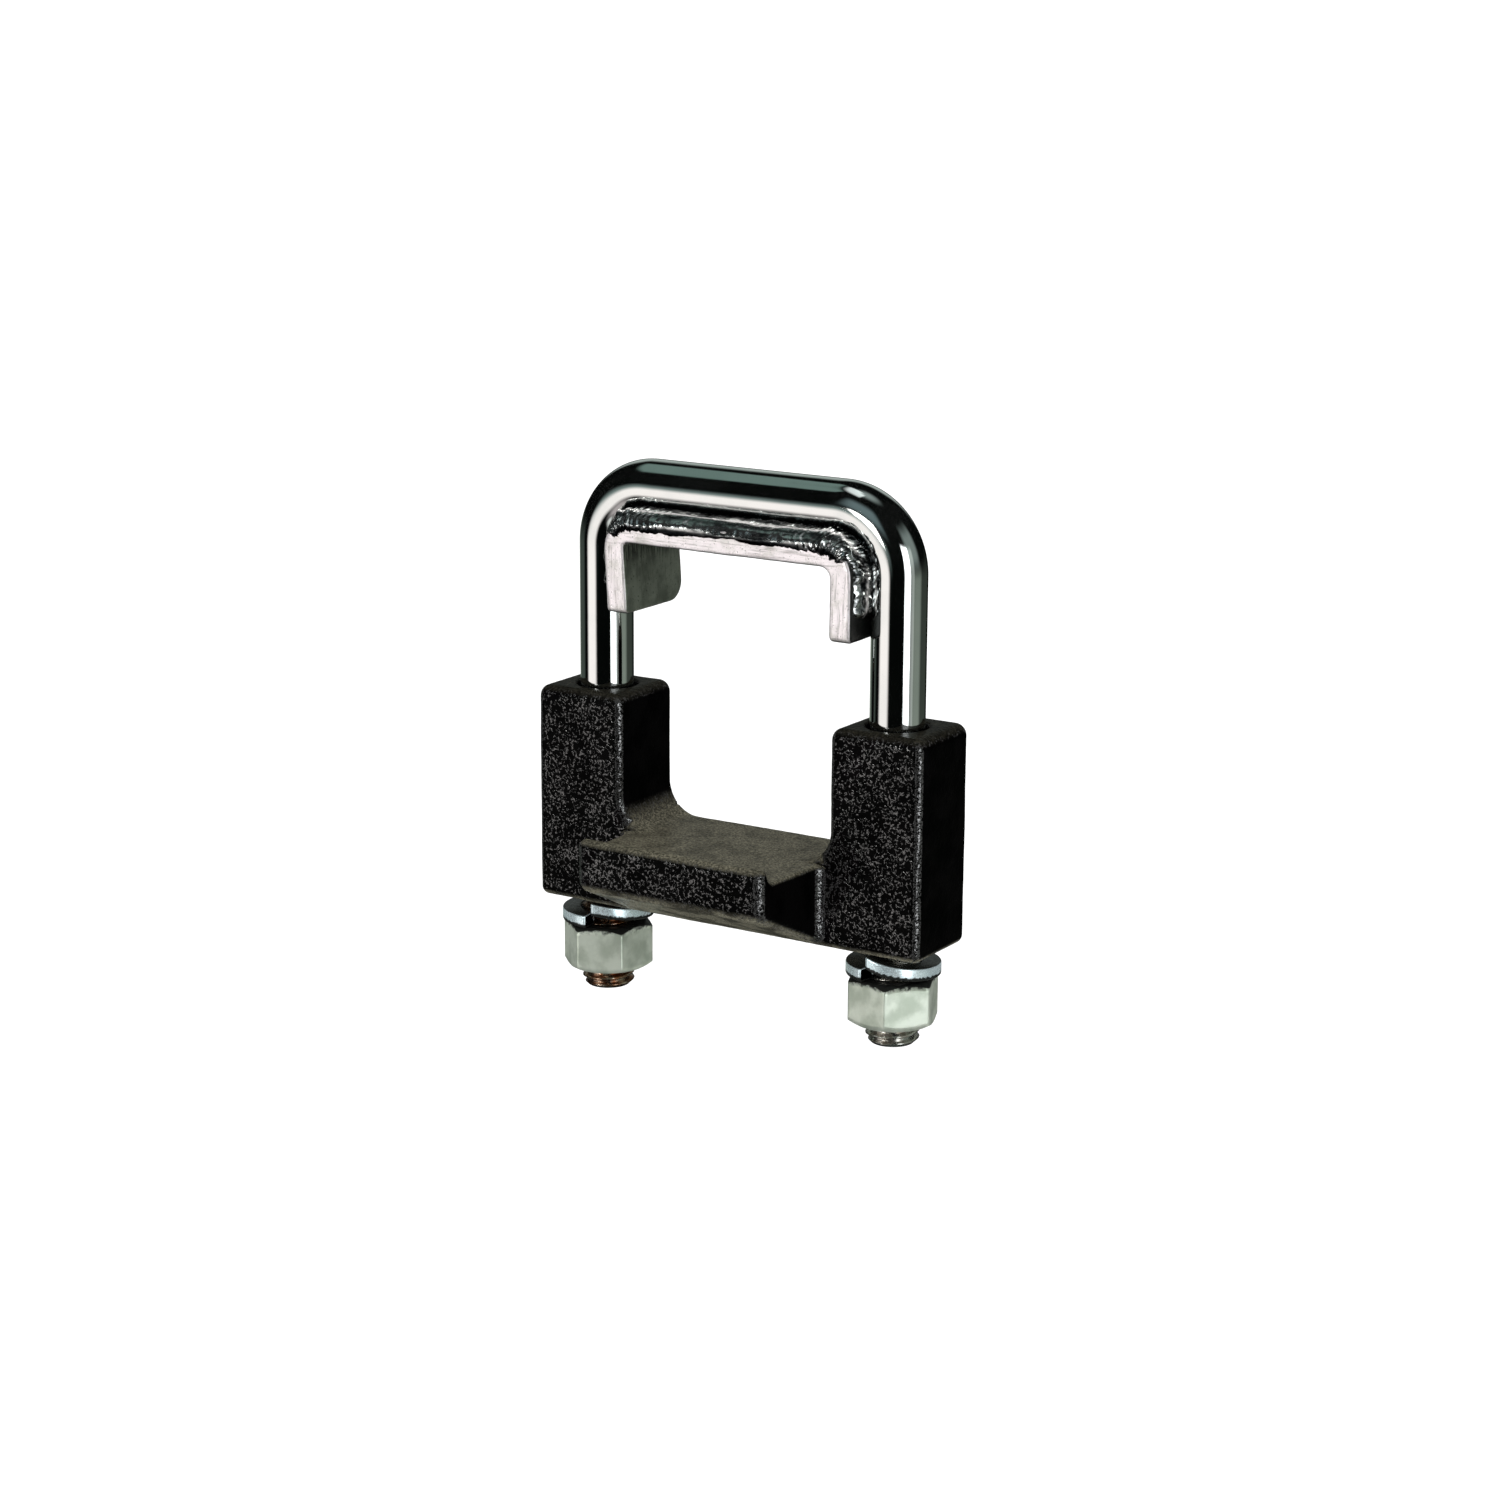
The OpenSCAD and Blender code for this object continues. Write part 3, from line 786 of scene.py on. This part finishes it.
TOP_END = TOP_HALF + BEND_R * math.pi / 2
FOOT_END = TOP_END + BEND_Z - (bracket_low.z + 5)
TOP_MARKS = (scattered_marks(5, 12, -TOP_HALF - 14, -TOP_HALF + 1, 1.3, 0.6)
             + scattered_marks(6, 10, TOP_HALF, TOP_HALF + 12, 1.3, 0.55)
             + [(TOP_HALF + 1.5, 0.5, 1.1, 0.7), (TOP_HALF + 3.6, 0.4, 0.5, -0.9)])
LEFT_MARKS = scattered_marks(7, 5, -FOOT_END, -TOP_END, 1.2, 0.5)
# How long the taper is at an end that runs into the next bead, and at a free end.
JOINED, ROUND = 0.8, 2.2
for face, place in ((FRONT, "front"), (REAR, "rear")):
    make_bead(f"bead_top_{place}", f"weld_top_{place}", -TOP_END, TOP_END, face,
              TOP_MARKS + LEFT_MARKS, (JOINED, JOINED))
    make_bead(f"bead_left_{place}", f"weld_left_{place}", -FOOT_END, -TOP_END + 2.6, face,
              TOP_MARKS + LEFT_MARKS, (ROUND, JOINED))
    make_bead(f"bead_right_{place}", f"weld_right_{place}", TOP_END - 2.6, FOOT_END, face,
              TOP_MARKS, (JOINED, ROUND))

# ---------------------------------------------------------------- lock washers

WASHER_R_IN = 6.55
WASHER_R_OUT = (washer_high.x - washer_low.x) / 2
WASHER_T = 3.25
WASHER_GAP = math.radians(9)
END_FACE_INSET = 0.8


def rounded_corner_outline(corners, r):
    """A closed outline round corners given in turn; a curve cuts each from r before it to r after."""
    outline = []
    count, steps = len(corners), 4
    for i, corner in enumerate(corners):
        before, after = corners[i - 1] - corner, corners[(i + 1) % count] - corner
        start = corner + before / np.linalg.norm(before) * r
        stop = corner + after / np.linalg.norm(after) * r
        for t in np.linspace(0, 1, steps + 1):
            outline.append((1 - t) ** 2 * start + 2 * t * (1 - t) * corner + t * t * stop)
    return np.array(outline)


def make_lock_washer(name, node, side, turn_deg, curl):
    """A left-hand coil of one turn: its section is a square with worn corners."""
    low, high = box_mm(node)
    middle = (WASHER_R_IN + WASHER_R_OUT) / 2
    half = (WASHER_R_OUT - WASHER_R_IN) / 2
    drop = high.z - low.z - WASHER_T
    corners = np.array([(-half, WASHER_T / 2), (-half, -WASHER_T / 2),
                        (half, -WASHER_T / 2 + 0.12), (half, WASHER_T / 2 - 0.12)])
    outline = rounded_corner_outline(corners, 0.45)
    stations = 140
    rows = []
    for i in range(stations + 1):
        t = i / stations
        angle = math.radians(turn_deg) + WASHER_GAP / 2 + (TAU - WASHER_GAP) * t
        level = high.z - WASHER_T / 2 - drop * (1 - (1 - t) ** curl)
        radius = middle + outline[:, 0]
        rows.append(np.stack([side * LEG_X + radius * math.cos(angle), radius * math.sin(angle),
                              level + outline[:, 1]], axis=1))
    columns = len(outline)
    body = np.concatenate(rows)
    faces = grid_faces(stations + 1, columns)
    inner = []
    for row in (rows[0], rows[-1]):
        centre = row.mean(axis=0)
        inner.append(centre + (row - centre) * END_FACE_INSET)
    first, last = len(body), len(body) + columns
    end = stations * columns
    for j in range(columns):
        k = (j + 1) % columns
        faces.append((k, j, first + j, first + k))
        faces.append((end + j, end + k, last + k, last + j))
    faces.append(tuple(range(first, first + columns)))
    faces.append(tuple(reversed(range(last, last + columns))))
    ring = mesh_piece(name, np.concatenate([body, *inner]), faces, WASHER_ZINC, "saddle",
                      [node])
    level = ring.data.attributes.new("level", "FLOAT", "POINT")
    level.data.foreach_set("value", np.tile(outline[:, 1], stations + 3))


make_lock_washer("split_ring_left", "lock_washer_left", LEFT, -82, 3.5)
make_lock_washer("split_ring_right", "lock_washer_right", RIGHT, -100, 7.0)

# ---------------------------------------------------------------- nuts

NUT_AF = 19.05
NUT_CORNER_ROUND = 0.5
NUT_BEVEL = math.tan(math.radians(30))
NUT_CLEARANCE = 0.1
NUT_FACE_SHARE = 0.955
NUT_RIM = 0.03
NUT_MOUTH_DEPTH = 0.9


def hexagon_radius(angle):
    """Radius of a hexagon with slightly round corners; a corner points to angle 0."""
    from_corner = np.abs((angle + TAU / 12) % (TAU / 6) - TAU / 12)
    apothem = NUT_AF / 2
    arc_centre = (apothem - NUT_CORNER_ROUND) / math.cos(TAU / 12)
    reach = math.atan2(NUT_CORNER_ROUND * math.sin(TAU / 12),
                       arc_centre + NUT_CORNER_ROUND * math.cos(TAU / 12))
    under = np.maximum(NUT_CORNER_ROUND ** 2 - (arc_centre * np.sin(from_corner)) ** 2, 0)
    on_arc = arc_centre * np.cos(from_corner) + np.sqrt(under)
    return np.where(from_corner < reach, on_arc, apothem / np.cos(TAU / 12 - from_corner))


def make_nut(name, node, side, turn_deg, body):
    """A hexagon nut with bevelled corners, dished mouths and a thread that fits the leg's."""
    low, high = box_mm(node)
    sides = 288
    angle = np.arange(sides) * TAU / sides
    hexagon = hexagon_radius(angle - math.radians(turn_deg))
    face_r = NUT_FACE_SHARE * NUT_AF / 2
    mouth_r = THREAD_R + 0.45
    rows = []

    def ring(radius, z):
        rows.append(np.stack([side * LEG_X + radius * np.cos(angle), radius * np.sin(angle),
                              np.broadcast_to(z, angle.shape)], axis=1))

    # from the mouth to the rim of an end face: radius, and depth under that face
    mouth = [(mouth_r - 0.1, 0.12), (mouth_r, 0.02), (mouth_r + 0.15, 0), (face_r - 0.3, 0),
             (face_r, NUT_RIM)]
    wide = hexagon.max()
    bevel = [np.minimum(face_r + (wide - face_r) * t, hexagon) for t in np.linspace(0.05, 1, 9)]
    bottom = low.z + NUT_RIM + (hexagon - face_r) * NUT_BEVEL
    top = high.z - NUT_RIM - (hexagon - face_r) * NUT_BEVEL

    for z in np.linspace(high.z - NUT_MOUTH_DEPTH, low.z + NUT_MOUTH_DEPTH, 90):
        ring(thread_radius(z, angle, NUT_CLEARANCE), z)
    for radius, depth in mouth:
        ring(np.full(sides, radius), low.z + depth)
    for radius in bevel:
        ring(radius, low.z + NUT_RIM + (radius - face_r) * NUT_BEVEL)
    for t in np.linspace(0.1, 0.9, 7):
        ring(hexagon, bottom + (top - bottom) * t)
    for radius in reversed(bevel):
        ring(radius, high.z - NUT_RIM - (radius - face_r) * NUT_BEVEL)
    for radius, depth in reversed(mouth):
        ring(np.full(sides, radius), high.z - depth)
    faces = grid_faces(len(rows), sides, closed_rows=True)
    faces = [tuple(reversed(f)) for f in faces]
    mesh_piece(name, np.concatenate(rows), faces, NUT_ZINC, body, [node])


make_nut("nut_body_left", "hex_nut_left", LEFT, 21.5, "nut_left")
make_nut("nut_body_right", "hex_nut_right", RIGHT, -11, "nut_right")

# ---------------------------------------------------------------- floor and light

FLOOR_GAP = 0.2


def make_floor():
    """A pale floor with a soft shadow, left out of the chrome, below the legs' lowest place."""
    half = 12.0
    mesh = bpy.data.meshes.new("floor")
    level = (LEG_END_Z - CLOSING_TRAVEL - FLOOR_GAP) * MM
    mesh.from_pydata([(-half, -half, level), (half, -half, level), (half, half, level),
                      (-half, half, level)], [], [(0, 1, 2, 3)])
    floor = bpy.data.objects.new("floor", mesh)
    bpy.context.collection.objects.link(floor)
    material, _, shader = principled("floor_white")
    shader.inputs["Base Color"].default_value = (0.55, 0.55, 0.55, 1)
    shader.inputs["Emission Color"].default_value = (1, 1, 1, 1)
    shader.inputs["Emission Strength"].default_value = 0.55
    shader.inputs["Roughness"].default_value = 1.0
    shader.inputs["Specular IOR Level"].default_value = 0.0
    mesh.materials.append(material)
    floor.visible_glossy = False


# Light panels of the studio, each with the azimuth of its middle and its half width, counted from
# the camera's own azimuth, its lowest and highest elevation, the softness of its edges, and its
# colour. All angles are in degrees. They hang in a dark room.
PANELS = [
    (-66, 19, -32, -4, 7, (1.15, 1.08, 1.06)),
    (-48, 6, 1, 12, 3, (14.0, 13.8, 13.5)),
    (-60, 24, -4, 6, 8, (0.22, 0.28, 0.27)),
    (-40, 16, 18, 46, 9, (0.14, 0.19, 0.20)),
    (-122, 32, 49, 62, 4, (0.15, 0.22, 0.20)),
    (-100, 50, 68, 84, 4, (0.8, 0.86, 0.86)),
    (30, 11, -20, 22, 3, (3.5, 3.6, 3.7)),
    (50, 8, -18, 22, 4, (0.30, 0.32, 0.31)),
    (74, 14, -30, -6, 13, (0.26, 0.30, 0.26)),
    (115, 25, -30, -6, 12, (0.05, 0.06, 0.05)),
    (62, 22, 4, 40, 10, (0.20, 0.24, 0.23)),
    (-130, 20, -22, -6, 8, (0.06, 0.075, 0.065)),
    (-168, 16, -22, -6, 6, (0.25, 0.29, 0.24)),
    (178, 24, 10, 34, 8, (0.40, 0.45, 0.43)),
    (95, 50, -52, -36, 6, (0.62, 0.64, 0.58)),
    (-45, 15, -56, -36, 8, (0.5, 0.45, 0.45)),
    (-15, 10, -44, -34, 4, (0.8, 0.82, 0.8)),
]
ROOM = (0.0015, 0.002, 0.0018)
ZENITH = (0.26, 0.31, 0.30)
NADIR = (0.06, 0.075, 0.07)
SOFT_LIGHT = 1.3


def make_world():
    """A dark room with light panels for reflections, and even white light for everything else."""
    world = bpy.data.worlds.new("studio")
    bpy.context.scene.world = world
    world.use_nodes = True
    g = Graph(world.node_tree)
    x, y, z = g.split(g.node("ShaderNodeTexCoord").outputs["Generated"])
    flat = g.math("SQRT", g.math("SUBTRACT", 1.0, g.math("MULTIPLY", z, z), clamp=True))
    flat = g.math("MAXIMUM", flat, 0.001)
    rise = g.math("MULTIPLY", g.math("ARCSINE", z), 180 / math.pi)
    light = g.mix(g.ramp(rise, 70, 88), (*ROOM, 1), (*ZENITH, 1))
    light = g.mix(g.ramp(rise, -50, -66), light, (*NADIR, 1))
    for middle, half, low, high, soft, color in PANELS:
        a = CAMERA_AZIMUTH + math.radians(middle)
        facing = g.math("SUBTRACT", g.math("MULTIPLY", x, math.sin(a)),
                        g.math("MULTIPLY", y, math.cos(a)))
        cosine = g.math("DIVIDE", facing, flat)
        width = g.ramp(cosine, math.cos(math.radians(half + soft)),
                       math.cos(math.radians(max(half - soft, 0))))
        band = g.math("MULTIPLY", g.ramp(rise, low - soft, low + soft),
                      g.ramp(rise, high + soft, high - soft))
        amount = g.math("MULTIPLY", width, band)
        lit = g.mix(amount, (0, 0, 0, 1), (*color, 1))
        light = g.mix(1.0, light, lit, "ADD")
    tent = g.node("ShaderNodeBackground")
    g.plug(light, tent.inputs["Color"])
    even = g.node("ShaderNodeBackground")
    even.inputs["Color"].default_value = (SOFT_LIGHT, SOFT_LIGHT, SOFT_LIGHT, 1)
    glossy = g.node("ShaderNodeLightPath").outputs["Is Glossy Ray"]
    choose = g.node("ShaderNodeMixShader")
    g.plug(glossy, choose.inputs[0])
    g.plug(even.outputs[0], choose.inputs[1])
    g.plug(tent.outputs[0], choose.inputs[2])
    output = g.node("ShaderNodeOutputWorld")
    g.plug(choose.outputs[0], output.inputs["Surface"])


make_floor()
make_world()
